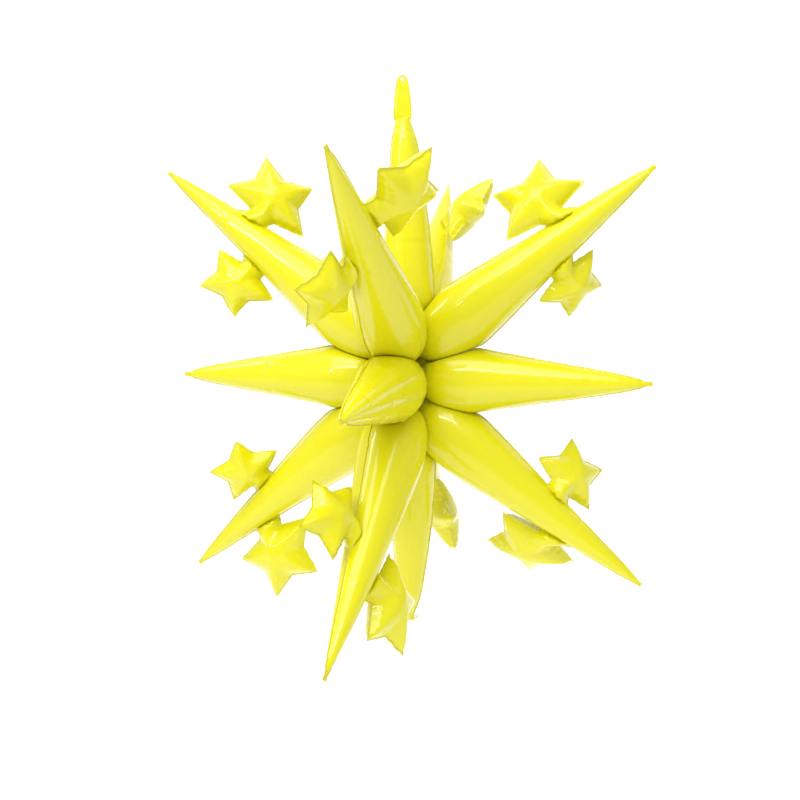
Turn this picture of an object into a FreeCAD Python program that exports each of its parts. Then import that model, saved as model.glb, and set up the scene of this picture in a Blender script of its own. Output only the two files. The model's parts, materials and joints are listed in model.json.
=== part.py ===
"""Starburst foil balloon: fourteen inflated film spikes gathered round one centre cord.

Four side spikes point level, eight star spikes slant up or down and carry a large and a
small star on their seams, and two pole spikes point straight up and down and end in a flat
tab with a hole. Every spike is a hollow film envelope whose gathered neck turns on a stem;
the stem belongs to a base tab, and the base tabs are threaded on the knotted centre cord.

Millimetres. +Z is up, +X is the right-hand side, -Y is the front. The origin is the centre
of the hole in the top tab, which the balloon hangs from.
"""
import FreeCAD
import Part
import math
import os

V = FreeCAD.Vector
OUT = "parts"

# Reach of the spikes, from the burst's centre.
STAR_SPIKE_REACH = 533.5  # two of them across the burst measure 42 in
STAR_TIP_ELEVATION = 40.5  # degrees above or below level, seen from the burst's centre
SIDE_SPIKE_REACH = 407.0
POLE_SPIKE_REACH = 498.0  # to the end of the flat end tab
TIE_HEIGHT = 27.0  # where the axes of the slanting spikes meet the cord line

# Film.
FILM = 0.8  # wall of an inflated envelope
SEAM = 0.9  # thickness of a welded seam or flat tab, two films
SEAM_WIDTH = 4.0  # how far a seam stands out of an envelope
SEAM_START = 165.0  # distance from the tie where a spike's seam stands clear of its neighbours
SEAM_RUN_IN = 12.0  # length over which a seam grows to its full width

# Envelope of a spike, measured from its tie along its axis.
NECK_START = 24.0
NECK_LENGTH = 10.0
NECK_RADIUS = 4.5
BELLY = {  # corner that the belly arc rounds off: distance from the tie, radius
    "star": (124.0, 61.0),
    "side": (120.0, 57.0),
    "pole": (116.0, 55.0),
}
BELLY_ROUND = 110.0
SHOULDER_BACK = 41.0  # distance from the inflated tip to where the tip begins to close
SHOULDER_RADIUS = 12.5
SHOULDER_ROUND = 60.0
TIP_RADIUS = 1.6
TIP_TAB = 12.0  # flat end of the seam past the inflated tip
TIP_TAB_HALF_WIDTH = 2.6

# End tab of a pole spike and the crease that it folds on.
END_TAB_LENGTH = 68.0
END_TAB_HALF_WIDTH = 15.0
END_TAB_TOP_HALF_WIDTH = 7.6
END_TAB_TOP_HEIGHT = 5.5
END_HOLE_RADIUS = 2.8
END_HOLE_INSET = 7.0  # from the tab's end to the hole's centre
CREASE_RADIUS = 1.2
CREASE_CLEARANCE = 0.4
POLE_SHOULDER_RADIUS = 19.0
POLE_TIP_RADIUS = 9.0
BOTTOM_TAB_FOLD = 75.0  # degrees that the bottom tab is folded back at rest

# Stars. The outline has five points, and the point towards the spike is the neck.
STAR_POINTS = 5
LARGE_STAR = {"radius": 70.0, "from_tip": 163.0, "centre_height": 50.0, "neck_half": 18.0}
SMALL_STAR = {"radius": 54.0, "from_tip": 205.0, "centre_height": 39.0, "neck_half": 15.0}
STAR_NOTCH = 0.5  # notch radius over point radius
STAR_PUFF = 0.42  # half thickness over point radius
STAR_BARREL_RADIUS = 6.0  # round root of the neck, on the line that the star flexes about
STAR_CLEARANCE = 0.5
STAR_SEAM_WIDTH = 3.0
STAR_WALL = 1.3 * FILM  # a little over the film's, because a star's faces meet at sharp edges

# Cord and base tabs.
CORD_RADIUS = 1.0
CORD_HOLE_CLEARANCE = 0.08
KNOT_RADIUS = 3.2
TAB_FILM = 0.6
TAB_PITCH = 1.1  # spacing of the tabs along the cord
TAB_DISC_RADIUS = 6.0
TAB_HALF_WIDTH = 4.0
TAB_BEND = 7.0  # distance from the cord to the bend
STEM_RADIUS = 1.6
STEM_CLEARANCE = 0.05
STEM_LENGTH = 7.5
STEM_ROOT = 1.0  # length of the stem that is buried in the tab
STEM_GAP = 0.6  # from the tab's end to the neck
BORE_LENGTH = 8.5

# Inlet valve film, inside each spike that has no end tab.
VALVE_FILM = 0.4
VALVE_LENGTH = 60.0
VALVE_HALF_WIDTH = 5.0
VALVE_ROOT_HALF_WIDTH = 2.0
VALVE_TAPER = 16.0

# Name, azimuth in degrees from +X, layer, and the twist of the star plane about the spike's
# own axis, in degrees from the plane that holds the pole.
STAR_SPIKES = [
    ("upper_right", 0.0, 1, 2.0),
    ("upper_rear", 90.0, 1, 45.0),
    ("upper_left", 180.0, 1, 5.0),
    ("upper_front", 270.0, 1, -35.0),
    ("lower_right", 0.0, -1, 3.0),
    ("lower_rear", 90.0, -1, -20.0),
    ("lower_left", 180.0, -1, -5.0),
    ("lower_front", 270.0, -1, 28.0),
]
SIDE_SPIKES = [("right", 0.0), ("rear", 90.0), ("left", 180.0), ("front", 270.0)]
POLE_SPIKES = [("top", 1), ("bottom", -1)]
LAYER_SIZE = len(SIDE_SPIKES)  # spikes whose base tabs lie next to one another on the cord

# Height of the burst's centre in the part's own frame.
CENTRE = V(0, 0, -(POLE_SPIKE_REACH - END_HOLE_INSET))
CREASE_HEIGHT = POLE_SPIKE_REACH - END_TAB_LENGTH  # above the burst's centre


def polar(radius, angle):
    """A 2-D point at an angle in degrees."""
    return (radius * math.cos(math.radians(angle)), radius * math.sin(math.radians(angle)))


def offset_chain(points, distance):
    """The inner 2-D points of a chain of lines, each line moved to its left by distance."""
    moved = []
    for (ax, ay), (bx, by) in zip(points, points[1:]):
        length = math.hypot(bx - ax, by - ay)
        nx, ny = -(by - ay) / length * distance, (bx - ax) / length * distance
        moved.append(((ax + nx, ay + ny), (bx + nx, by + ny)))
    return [moved[0][0]] + [cross_point(a, b) for a, b in zip(moved, moved[1:])] + [moved[-1][1]]


def cross_point(first, second):
    """Where two 2-D lines, each given by two points, cross."""
    (ax, ay), (bx, by) = first
    (cx, cy), (dx, dy) = second
    ux, uy, wx, wy = bx - ax, by - ay, dx - cx, dy - cy
    t = ((cx - ax) * wy - (cy - ay) * wx) / (ux * wy - uy * wx)
    return (ax + t * ux, ay + t * uy)


def rounded_edges(points, radii):
    """Edges in the XZ plane through 2-D points, with an arc at each inner point that has a radius."""
    edges, start = [], points[0]
    for before, corner, after, radius in zip(points, points[1:], points[2:], radii):
        if radius:
            a, b = unit(corner, before), unit(corner, after)
            half = 0.5 * math.acos(a[0] * b[0] + a[1] * b[1])
            back = radius / math.tan(half)
            first = (corner[0] + a[0] * back, corner[1] + a[1] * back)
            last = (corner[0] + b[0] * back, corner[1] + b[1] * back)
            bisector = unit((0, 0), (a[0] + b[0], a[1] + b[1]))
            reach = radius / math.sin(half) - radius
            middle = (corner[0] + bisector[0] * reach, corner[1] + bisector[1] * reach)
            edges.append(line(start, first))
            edges.append(Part.Arc(flat(first), flat(middle), flat(last)).toShape())
            start = last
        else:
            edges.append(line(start, corner))
            start = corner
    edges.append(line(start, points[-1]))
    return edges


def unit(origin, target):
    """Unit 2-D vector from origin to target."""
    dx, dy = target[0] - origin[0], target[1] - origin[1]
    length = math.hypot(dx, dy)
    return (dx / length, dy / length)


def flat(point):
    """A 2-D point in the XZ plane."""
    return V(point[0], 0, point[1])


def line(a, b):
    """A straight edge in the XZ plane."""
    return Part.LineSegment(flat(a), flat(b)).toShape()


def revolved(points, radii):
    """Solid of a chain that starts and ends on the Z axis."""
    edges = rounded_edges(points, radii)
    edges.append(line(points[-1], points[0]))
    return Part.Face(Part.Wire(edges)).revolve(V(0, 0, 0), V(0, 0, 1), 360)


def plate(points, thickness):
    """Flat plate of a 2-D outline in the XZ plane, centred on it."""
    corners = [flat(p) for p in points]
    face = Part.Face(Part.makePolygon(corners + corners[:1]))
    solid = face.extrude(V(0, thickness, 0))
    solid.translate(V(0, -thickness / 2, 0))
    return solid


def placed(shape, *frames):
    """A copy of a local shape, moved through nested frames of (origin, x, y, z), the outermost first."""
    placement = FreeCAD.Placement()
    for origin, x, y, z in frames:
        matrix = FreeCAD.Matrix(
            x.x, y.x, z.x, origin.x,
            x.y, y.y, z.y, origin.y,
            x.z, y.z, z.z, origin.z,
            0, 0, 0, 1,
        )
        placement = placement.multiply(FreeCAD.Placement(matrix))
    copy = shape.copy()
    copy.Placement = placement
    return copy


def save(shape, node):
    """Moves a shape from the burst's centre to the part's own frame and writes its STEP."""
    shape = shape.copy()
    shape.translate(CENTRE)
    shape.exportStep(os.path.join(OUT, node + ".step"))


def spike_list():
    """Every spike as a dict: name, kind, layer, azimuth, and its frame and length from the tie."""
    spikes = []
    rise = math.radians(STAR_TIP_ELEVATION)
    for name, azimuth, layer, twist in STAR_SPIKES:
        out, up = STAR_SPIKE_REACH * math.cos(rise), STAR_SPIKE_REACH * math.sin(rise)
        tip = V(*polar(out, azimuth), layer * up)
        spikes.append(spike_of(name, "star", layer, azimuth, tip, twist))
    for name, azimuth in SIDE_SPIKES:
        spikes.append(spike_of(name, "side", 0, azimuth, V(*polar(SIDE_SPIKE_REACH, azimuth), 0), 0.0))
    for name, layer in POLE_SPIKES:
        spikes.append(spike_of(name, "pole", layer, 0.0, V(0, 0, layer * CREASE_HEIGHT), 0.0))
    return spikes


def spike_of(name, kind, layer, azimuth, tip, twist):
    """The dict of one spike. Its local X lies in the seam plane, towards the large star."""
    tie = V(0, 0, layer * TIE_HEIGHT)
    z = (tip - tie).normalize()
    if kind == "pole":
        x = V(1, 0, 0)
    else:
        side = z.cross(V(0, 0, layer or 1)).normalize()
        pole = side.cross(z)
        angle = math.radians(twist)
        x = pole * math.cos(angle) + side * math.sin(angle)
    return {
        "name": name, "kind": kind, "layer": layer, "azimuth": azimuth, "twist": twist,
        "frame": (tie, x, z.cross(x), z), "length": (tip - tie).Length,
    }


def inflated_length(spike):
    """Distance from the tie to the end of the inflated envelope."""
    if spike["kind"] == "pole":
        return spike["length"] - CREASE_RADIUS - CREASE_CLEARANCE
    return spike["length"] - TIP_TAB


def envelope_chain(spike):
    """The envelope's outline from the neck's end to the tip, and the radii of its corners."""
    end = inflated_length(spike)
    pole = spike["kind"] == "pole"
    belly_at, belly_radius = BELLY[spike["kind"]]
    points = [
        (0, NECK_START),
        (NECK_RADIUS, NECK_START),
        (NECK_RADIUS, NECK_START + NECK_LENGTH),
        (belly_radius, belly_at),
        (POLE_SHOULDER_RADIUS if pole else SHOULDER_RADIUS, end - SHOULDER_BACK),
        (POLE_TIP_RADIUS if pole else TIP_RADIUS, end),
        (0, end),
    ]
    return points, [0, 0, BELLY_ROUND, SHOULDER_ROUND, 0]


def side_line(spike):
    """The straight side from the belly's corner to the shoulder, as two 2-D points."""
    points, _ = envelope_chain(spike)
    return points[3], points[4]


def radius_at(spike, distance):
    """Envelope radius on the straight side at a distance from the tie."""
    (ra, sa), (rb, sb) = side_line(spike)
    return ra + (rb - ra) * (distance - sa) / (sb - sa)


def seam_outline(spike):
    """Half of the seam's outline, from the axis to the tip, on the +X side."""
    points, _ = envelope_chain(spike)
    shoulder_radius, shoulder_at = points[4]
    grown = SEAM_START + SEAM_RUN_IN
    half = [
        (radius_at(spike, SEAM_START) - FILM / 2, SEAM_START),
        (radius_at(spike, grown) + SEAM_WIDTH, grown),
        (shoulder_radius + SEAM_WIDTH, shoulder_at),
    ]
    end = inflated_length(spike)
    if spike["kind"] == "pole":
        return half + [(END_TAB_HALF_WIDTH, end)]
    return half + [(TIP_TAB_HALF_WIDTH + TIP_RADIUS, end), (TIP_TAB_HALF_WIDTH, spike["length"])]


def stars_of(spike):
    """(side sign along local X, star sizes, name) of the stars on a spike."""
    if spike["kind"] != "star":
        return []
    return [(1, LARGE_STAR, "large"), (-1, SMALL_STAR, "small")]


def star_frame(spike, sign, star):
    """Local frame of a star: centre, X away from the spike, Y across its plane, Z along its root."""
    (ra, sa), (rb, sb) = side_line(spike)
    lean = math.atan2(ra - rb, sb - sa)
    at = spike["length"] - star["from_tip"]
    away = V(sign * math.cos(lean), 0, math.sin(lean))
    along = V(-sign * math.sin(lean), 0, math.cos(lean))
    surface = V(sign * radius_at(spike, at), 0, at)
    centre = surface + away * star["centre_height"]
    return (centre, away, along.cross(away), along)


def star_root(star):
    """Distance from a star's centre back to the line that it flexes about."""
    return star["centre_height"] - STAR_BARREL_RADIUS - STAR_CLEARANCE


def star_outline(star, grow):
    """Outline of a star in (away, along), with the neck in place of the point at 180 degrees."""
    step = 360.0 / STAR_POINTS
    points = []
    for index in range(STAR_POINTS):
        notch = index * step
        points.append(polar(star["radius"] * STAR_NOTCH + grow, notch))
        if index == STAR_POINTS // 2:
            root = -star_root(star)
            points.append((root, star["neck_half"] + grow))
            points.append((root, -star["neck_half"] - grow))
        else:
            points.append(polar(star["radius"] + grow, notch + step / 2))
    return points


def puffed(outline, height):
    """Closed solid with a sharp rim on the XZ plane and one apex on each side of it."""
    rim = [flat(p) for p in outline]
    faces = []
    for a, b in zip(rim, rim[1:] + rim[:1]):
        for apex in (V(0, height, 0), V(0, -height, 0)):
            faces.append(Part.Face(Part.makePolygon([a, b, apex, a])))
    return Part.makeSolid(Part.makeShell(faces))


def make_star(star):
    """Hollow star with a welded rim and a round root, in its own local frame."""
    height = star["radius"] * STAR_PUFF
    root = V(-star_root(star), 0, -star["neck_half"])
    barrel = Part.makeCylinder(STAR_BARREL_RADIUS, 2 * star["neck_half"], root, V(0, 0, 1))
    body = puffed(star_outline(star, 0), height)
    rim = plate(star_outline(star, STAR_SEAM_WIDTH), SEAM)
    outside = body.fuse([barrel, rim])
    notch_reach = star["radius"] * STAR_NOTCH * height / math.hypot(height, star["radius"] * STAR_NOTCH)
    void = body.copy()
    void.scale(1 - STAR_WALL / notch_reach)
    hollow_root = Part.makeCylinder(
        STAR_BARREL_RADIUS - FILM,
        2 * (star["neck_half"] - FILM),
        root + V(0, 0, FILM),
        V(0, 0, 1),
    )
    return outside.cut(void.fuse(hollow_root)).removeSplitter()


def make_spike(spike):
    """Hollow envelope with its gathered neck, neck bore and welded seam, along local Z."""
    points, radii = envelope_chain(spike)
    outside = revolved(points, radii)
    inner_radii = [0] + [r - FILM if r else 0 for r in radii[2:]]
    inside = revolved(void_chain(points), inner_radii)
    half = seam_outline(spike)
    seam = plate(half + [(-x, s) for x, s in reversed(half)], SEAM)
    for sign, star, _ in stars_of(spike):
        seam = seam.cut(star_notch(spike, sign, star))
    bore = Part.makeCylinder(STEM_RADIUS + STEM_CLEARANCE, BORE_LENGTH, V(0, 0, NECK_START), V(0, 0, 1))
    return outside.fuse(seam).cut(inside).cut(bore)


def void_chain(points):
    """The inside of an envelope: its outline past the neck, one film further in."""
    neck_end = points[2]
    chain = offset_chain([(0, neck_end[1])] + points[2:], FILM)
    chain[0] = (0, chain[0][1])
    chain[-1] = (0, chain[-1][1])
    return chain


def star_notch(spike, sign, star):
    """Block that clears the spike's seam where a star's neck leaves it."""
    centre, away, across, along = star_frame(spike, sign, star)
    half = star["neck_half"] + STAR_SEAM_WIDTH + STAR_CLEARANCE
    block = Part.makeBox(
        2 * SEAM_WIDTH + FILM, 2 * SEAM_WIDTH, 2 * half, V(-FILM, -SEAM_WIDTH, -half)
    )
    surface = centre - away * star["centre_height"]
    return placed(block, (surface, away, across, along))


def tab_level(spike, index):
    """Height of a base tab's disc above or below the burst's centre, before the layer's sign."""
    offset = (index - (LAYER_SIZE - 1) / 2) * TAB_PITCH
    if spike["kind"] == "side":
        return offset
    rise = (STAR_SPIKE_REACH * math.sin(math.radians(STAR_TIP_ELEVATION)) - TIE_HEIGHT) / (
        STAR_SPIKE_REACH * math.cos(math.radians(STAR_TIP_ELEVATION))
    )
    return TIE_HEIGHT + TAB_BEND * rise + offset


def pole_tab_level():
    """Height of the disc of a pole spike's base tab, outside those of the star spikes."""
    return tab_level({"kind": "star"}, LAYER_SIZE - 1) + TAB_PITCH


def make_base_tab(spike, level):
    """Film strip with a hole for the cord at one end and the neck's stem at the other."""
    _, _, _, axis = spike["frame"]
    out, up = math.hypot(axis.x, axis.y), abs(axis.z)
    reach = NECK_START - STEM_GAP
    tie = TIE_HEIGHT if spike["layer"] else 0.0
    end = (reach * out, tie + reach * up)
    route = [(-TAB_DISC_RADIUS, level), (TAB_BEND, level)]
    if spike["kind"] == "pole":
        route += [(TAB_BEND, end[1]), (-TAB_HALF_WIDTH, end[1])]
    else:
        route += [end]
    band = offset_chain(route, TAB_FILM / 2) + offset_chain(route, -TAB_FILM / 2)[::-1]
    strip = plate(band, 2 * TAB_HALF_WIDTH)
    disc = Part.makeCylinder(TAB_DISC_RADIUS, TAB_FILM, V(0, 0, level - TAB_FILM / 2), V(0, 0, 1))
    direction = V(out, 0, up)
    root = V(end[0], 0, end[1]) - direction * STEM_ROOT
    stem = Part.makeCylinder(STEM_RADIUS, STEM_ROOT + STEM_GAP + STEM_LENGTH, root, direction)
    hole = Part.makeCylinder(
        CORD_RADIUS + CORD_HOLE_CLEARANCE, 2 * TAB_FILM, V(0, 0, level - TAB_FILM), V(0, 0, 1)
    )
    tab = strip.fuse([disc, stem]).cut(hole)
    if spike["layer"] < 0:
        tab = tab.mirror(V(0, 0, 0), V(0, 0, 1))
    tab.rotate(V(0, 0, 0), V(0, 0, 1), spike["azimuth"])
    return tab


def make_valve():
    """Flat inlet film that hangs inside a spike, from the end of its neck."""
    start = NECK_START + NECK_LENGTH + FILM
    half = [
        (VALVE_ROOT_HALF_WIDTH, start),
        (VALVE_HALF_WIDTH, start + VALVE_TAPER),
        (VALVE_HALF_WIDTH, start + VALVE_LENGTH),
    ]
    return plate(half + [(-x, s) for x, s in reversed(half)], VALVE_FILM)


def make_cord():
    """Centre cord with a knot at each end, just past the pole spikes' tabs."""
    knot_at = pole_tab_level() + TAB_FILM / 2 + CORD_HOLE_CLEARANCE + KNOT_RADIUS
    cord = Part.makeCylinder(CORD_RADIUS, 2 * knot_at, V(0, 0, -knot_at), V(0, 0, 1))
    knots = [Part.makeSphere(KNOT_RADIUS, V(0, 0, sign * knot_at)) for sign in (-1, 1)]
    return cord.fuse(knots)


def make_end_tab():
    """Flat tab of the top spike, standing up from its round crease, about the burst's centre."""
    top = POLE_SPIKE_REACH
    left = (-END_TAB_TOP_HALF_WIDTH, top - END_TAB_TOP_HEIGHT)
    right = (END_TAB_TOP_HALF_WIDTH, top - END_TAB_TOP_HEIGHT)
    foot_left = (-END_TAB_HALF_WIDTH, CREASE_HEIGHT)
    foot_right = (END_TAB_HALF_WIDTH, CREASE_HEIGHT)
    edges = [
        line(foot_left, left),
        Part.Arc(flat(left), V(0, 0, top), flat(right)).toShape(),
        line(right, foot_right),
        line(foot_right, foot_left),
    ]
    sheet = Part.Face(Part.Wire(edges)).extrude(V(0, SEAM, 0))
    sheet.translate(V(0, -SEAM / 2, 0))
    crease = Part.makeCylinder(
        CREASE_RADIUS, 2 * END_TAB_HALF_WIDTH, flat(foot_left), V(1, 0, 0)
    )
    hole_at = V(0, -SEAM, top - END_HOLE_INSET)
    return sheet.fuse(crease).cut(Part.makeCylinder(END_HOLE_RADIUS, 2 * SEAM, hole_at, V(0, 1, 0)))


def make_bottom_tab():
    """The same tab under the bottom spike, folded back towards the rear."""
    tab = make_end_tab().mirror(V(0, 0, 0), V(0, 0, 1))
    tab.rotate(V(0, 0, -CREASE_HEIGHT), V(1, 0, 0), BOTTOM_TAB_FOLD)
    return tab


def build():
    """Writes every node."""
    os.makedirs(OUT, exist_ok=True)
    for index, spike in enumerate(spike_list()):
        frame = spike["frame"]
        name = spike["name"]
        save(placed(make_spike(spike), frame), name + "_spike")
        if spike["kind"] == "pole":
            level = pole_tab_level()
        else:
            level = tab_level(spike, index % LAYER_SIZE)
            save(placed(make_valve(), frame), name + "_valve")
        save(make_base_tab(spike, level), name + "_base_tab")
        for sign, star, size in stars_of(spike):
            made = placed(make_star(star), frame, star_frame(spike, sign, star))
            save(made, name + "_" + size + "_star")
    save(make_cord(), "centre_cord")
    save(make_end_tab(), "hang_tab")
    save(make_bottom_tab(), "bottom_end_tab")


build()
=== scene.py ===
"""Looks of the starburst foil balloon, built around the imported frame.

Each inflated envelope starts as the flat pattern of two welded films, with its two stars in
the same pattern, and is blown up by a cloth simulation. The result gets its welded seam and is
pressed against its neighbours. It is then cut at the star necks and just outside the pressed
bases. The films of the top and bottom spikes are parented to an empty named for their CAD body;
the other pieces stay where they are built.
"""

import json
import math

import bpy
import numpy as np
from mathutils import Matrix, Vector, geometry


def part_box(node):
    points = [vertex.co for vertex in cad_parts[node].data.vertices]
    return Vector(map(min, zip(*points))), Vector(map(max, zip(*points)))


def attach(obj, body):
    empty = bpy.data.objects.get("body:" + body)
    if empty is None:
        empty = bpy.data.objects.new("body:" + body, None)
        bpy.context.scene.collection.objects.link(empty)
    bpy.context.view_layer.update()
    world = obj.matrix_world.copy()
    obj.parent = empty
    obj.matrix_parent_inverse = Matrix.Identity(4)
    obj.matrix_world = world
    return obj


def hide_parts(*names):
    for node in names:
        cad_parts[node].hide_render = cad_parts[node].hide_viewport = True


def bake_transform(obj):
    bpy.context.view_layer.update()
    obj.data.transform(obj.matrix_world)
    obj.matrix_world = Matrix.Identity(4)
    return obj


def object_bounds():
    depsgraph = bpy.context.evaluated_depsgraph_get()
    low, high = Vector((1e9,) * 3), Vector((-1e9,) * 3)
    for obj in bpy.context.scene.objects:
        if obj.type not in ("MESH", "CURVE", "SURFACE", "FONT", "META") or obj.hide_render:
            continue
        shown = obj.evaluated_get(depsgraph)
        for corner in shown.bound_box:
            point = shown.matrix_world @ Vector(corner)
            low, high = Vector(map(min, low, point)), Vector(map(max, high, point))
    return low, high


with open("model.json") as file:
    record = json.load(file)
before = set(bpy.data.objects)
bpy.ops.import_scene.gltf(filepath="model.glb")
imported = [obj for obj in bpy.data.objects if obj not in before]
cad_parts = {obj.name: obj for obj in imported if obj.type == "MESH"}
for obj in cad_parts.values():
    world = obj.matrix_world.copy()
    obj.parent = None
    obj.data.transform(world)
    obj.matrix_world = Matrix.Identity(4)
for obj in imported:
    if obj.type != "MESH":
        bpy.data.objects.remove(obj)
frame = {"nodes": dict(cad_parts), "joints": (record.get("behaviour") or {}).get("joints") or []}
cad_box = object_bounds()

MM = 0.001
HALF_TURN = math.pi / 2  # a flat strip's width over the width of the round tube it makes

# Radius of an inflated envelope: (distance from the tie, radius) in millimetres up to the
# belly, then (distance from the tip, radius) to the end of the inflated film.
STAR_BASE = [(25, 5.0), (29, 13), (36, 25), (46, 36), (57, 44), (70, 49.5), (86, 53), (104, 54.5)]
STAR_BODY = [(385, 55.5), (361, 53.5), (315, 47.5), (266, 40.6), (222, 34.0), (170, 27.4), (116, 19.8),
             (70, 13.2), (38, 8.0), (20, 4.4), (12, 2.3), (2, 1.5)]
SIDE_BASE = [(25, 5.0), (28, 14), (34, 28), (42, 39), (53, 47), (66, 52.5), (81, 55.3), (96, 56.3)]
SIDE_BODY = [(296, 56.3), (280, 54), (254, 49), (218, 43), (174, 35), (131, 28), (85, 20.0), (41, 11.4),
             (21, 5.8), (12, 2.3), (2, 1.5)]
POLE_BASE = [(25, 5.0), (29, 12), (37, 24), (48, 34), (60, 41), (74, 46), (92, 49), (110, 49.5)]
POLE_BODY = [(300, 48.5), (244, 43.5), (200, 38.5), (145, 32.0), (90, 26.0), (62, 23.5), (34, 19.0),
             (12, 12.5), (0.6, 9.4)]

# Stars in the flat pattern, in millimetres.
STARS = {
    "large": {"side": 1, "from_tip": 163, "radius": 79, "height": 58, "neck_half": 25},
    "small": {"side": -1, "from_tip": 211, "radius": 63, "height": 47, "neck_half": 21},
}
STAR_NOTCH = 0.62  # notch radius over point radius
NECK_OVERLAP = 5.0  # how far a star's neck reaches into its spike's film, in the flat pattern
NECK_MARGIN = 4.0  # how far each side of a neck the spike's own edge stops
CUT_HEIGHT = 7.0  # where a star is cut from its spike, out from the spike's seam
NECK_BEND = 18.0  # the length of neck over which a star turns to its own pose

# How each star sits on its neck: turned about the neck, swung in its own plane and leaned about
# the spike, in degrees; then grown, and moved along the spike in millimetres.
STAR_POSES = {
    ("upper_rear", "large"): (-1, 5, 4, 1.0, 6),
    ("lower_rear", "large"): (-12, 12, -11, 1.05, 12),
    ("upper_left", "large"): (9, -11, 25, 0.98, -11),
    ("upper_left", "small"): (6, 9, 8, 1.0, -3),
    ("upper_right", "large"): (13, 4, -32, 1.06, -12),
    ("upper_right", "small"): (18, -3, 38, 1.02, -2),
    ("upper_front", "large"): (5, -2, -13, 1.0, 5),
    ("upper_front", "small"): (-2, 11, -2, 1.03, -14),
    ("lower_left", "large"): (3, -10, 8, 1.08, 4),
    ("lower_left", "small"): (-7, 9, -24, 1.0, 0),
    ("lower_right", "large"): (-14, 8, 31, 1.10, -13),
    ("lower_right", "small"): (-18, 2, -46, 1.08, 0),
    ("lower_front", "small"): (-1, 7, 8, 1.02, -11),
    ("lower_front", "large"): (-4, -6, -3, 1.0, 0),
}

FILM_STEP = 5.0  # edge length of the film mesh
GRID_JITTER = 0.12  # how far a mesh point strays from its grid, over the edge length
RIM_CLEARANCE = 0.62  # how near a mesh point may lie to the outline, over the edge length
SHARP_TURN = math.radians(30)  # an outline's corner, which the mesh keeps
SIM_FRAMES = 18
SIM_PRESSURE = 9.0
FILM_STIFFNESS = 45.0
PUCKER_LENGTH = 15.0  # wave length of the puckers along a seam
PUCKER_DEPTH = 2.4
PUCKER_FADE = 14.0  # how far in from the seam puckers fade out
STAR_PUCKER_LENGTH = 13.0
STAR_PUCKER_DEPTH = 0.9
STAR_PUCKER_FADE = 9.0
CREASES = 3  # cross creases on each spike

SEAM_WIDTH = 2.0
SEAM_THICK = 0.6
SEAM_SPREAD = 0.25  # how far each film stands off the middle of the weld at its root
TIP_TAB = 13.0  # the welded end of a spike

# An end tab: half its outline as (half width, distance from the crease), and its hole and fold.
END_TAB_LENGTH = 68.0
END_TAB_SIDE = [(14.9, -3.0), (15.3, 0), (15.1, 14), (14.2, 30), (12.2, 46), (10.4, 55), (8.4, 61),
                (5.9, 65.2), (3.0, 67.4), (0.0, END_TAB_LENGTH)]
END_HOLE_RADIUS = 2.8
END_HOLE_INSET = 7.0
FOLD_RADIUS = 4.0
BOTTOM_FOLD = math.radians(75)

# How far from the tie, in metres, the bases stay pressed together, where each spike's film is cut
# from its base piece.
BASE_REACH = 0.2

CONTACT_GAP = 0.2  # millimetres from a film to the plane where it meets its neighbour
CONTACT_SOFT = 0.8  # how softly a film starts to flatten, in millimetres
PRESS_GIRTH = 0.26  # distance from the cord line, in metres, within which spikes are pressed
LEAST_GIRTH = 0.0005  # how near the cord line a pressed point may come, in metres

# Where the tips of the real, slightly uneven burst stray to: right and up, in millimetres.
TIP_DRIFT = {
    "upper_left": (-17, 6), "upper_right": (-2, -3), "lower_left": (11, -10), "lower_right": (-3, 9),
    "upper_front": (-5, 1), "lower_front": (-22, -4), "upper_rear": (3, -2), "lower_rear": (-12, 0),
    "left": (0, -3), "right": (3, 1), "front": (8, 4),
}
DRIFT_START = 150  # distance from the tie where a spike starts to stray, in millimetres
BOW_START = 60
# How far to the right the middle of a spike bows, in millimetres.
BOW = {"top": 7, "bottom": 10, "upper_rear": 9, "lower_rear": -13}
# How far a spike without stars is turned about its axis, which turns its seams, in degrees.
SEAM_TURN = {"front": 28, "left": -4, "right": 5}

# The paper backdrop, in metres.
FLOOR_DROP = 0.35  # from the lowest tip to the floor
WALL_CURVE = 1.5
BACKDROP_HALF_WIDTH = 4.5

CAMERA_AZIMUTH = 12.89
CAMERA_ELEVATION = 8.58
CAMERA_ROLL = -0.42
CAMERA_DISTANCE = 1.552
CAMERA_LENS = 41.0
CAMERA_SHIFT = (-0.0056, -0.0272)

joints = {j["name"]: j for j in frame["joints"]}
burst = Vector(joints["left_swing"]["pos_m"])
tie_height = joints["upper_right_swing"]["pos_m"][2] - burst.z


# ---------------------------------------------------------------- the layout, from the frame

def node_reach(node, origin, axis):
    """How far a CAD node reaches along an axis from a point."""
    return max((v.co - origin).dot(axis) for v in frame["nodes"][node].data.vertices)


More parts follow.
